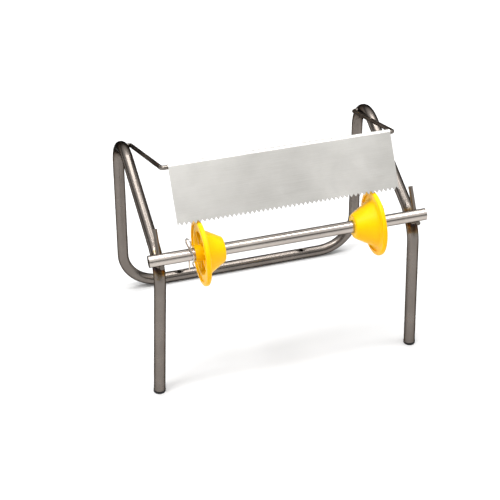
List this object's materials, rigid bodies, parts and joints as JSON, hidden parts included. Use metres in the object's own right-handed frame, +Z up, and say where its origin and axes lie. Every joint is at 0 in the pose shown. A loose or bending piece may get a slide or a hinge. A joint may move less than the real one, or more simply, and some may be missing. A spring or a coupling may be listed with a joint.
{
  "type": "cling film dispenser",
  "caption": "Countertop film dispenser: a bent steel tube frame carries a roll bar with two sliding core cones and a hinged toothed cutter blade.",
  "frame": {"origin": "on the table, under the middle of the dispenser's box", "axes": "+X to the right along the roll bar, +Y to the rear, +Z up"},
  "size_m": [0.3866, 0.3, 0.3416],
  "materials": {
    "steel_tube": "satin stainless tube, lightly polished along its length",
    "steel_rod": "drawn stainless rod, heat tinted near its welds",
    "blade_steel": "smooth cold rolled stainless sheet",
    "yellow_plastic": "smooth moulded plastic, slightly glossy",
    "black_plastic": "matt moulded plastic",
    "spring_wire": "bright plated spring wire"
  },
  "bodies": {
    "frame": {"frame_tube": "steel_tube", "foot_plug_left": "black_plastic", "foot_plug_right": "black_plastic", "cradle_hook_left": "steel_rod", "cradle_hook_right": "steel_rod"},
    "bow": {"blade_bow": "steel_rod", "cutter_blade": "blade_steel"},
    "bar": {"roll_bar": "steel_tube", "clip_left": "spring_wire", "clip_right": "spring_wire"},
    "left_cone": {"cone_left": "yellow_plastic"},
    "right_cone": {"cone_right": "yellow_plastic"}
  },
  "joints": [
    {"name": "blade_lift", "type": "hinge", "parent": "frame", "child": "bow", "pos_m": [0, 0.12196, 0.26553], "axis": [-1, 0, 0], "range_deg": [0, 250]},
    {"name": "roll_spin", "type": "hinge", "parent": "frame", "child": "bar", "pos_m": [0, -0.106, 0.232], "axis": [1, 0, 0], "continuous": true},
    {"name": "left_cone_slide", "type": "slide", "parent": "bar", "child": "left_cone", "axis": [1, 0, 0], "range_m": [-0.001, 0.08]},
    {"name": "right_cone_slide", "type": "slide", "parent": "bar", "child": "right_cone", "axis": [1, 0, 0], "range_m": [-0.078, 0.0005]}
  ]
}
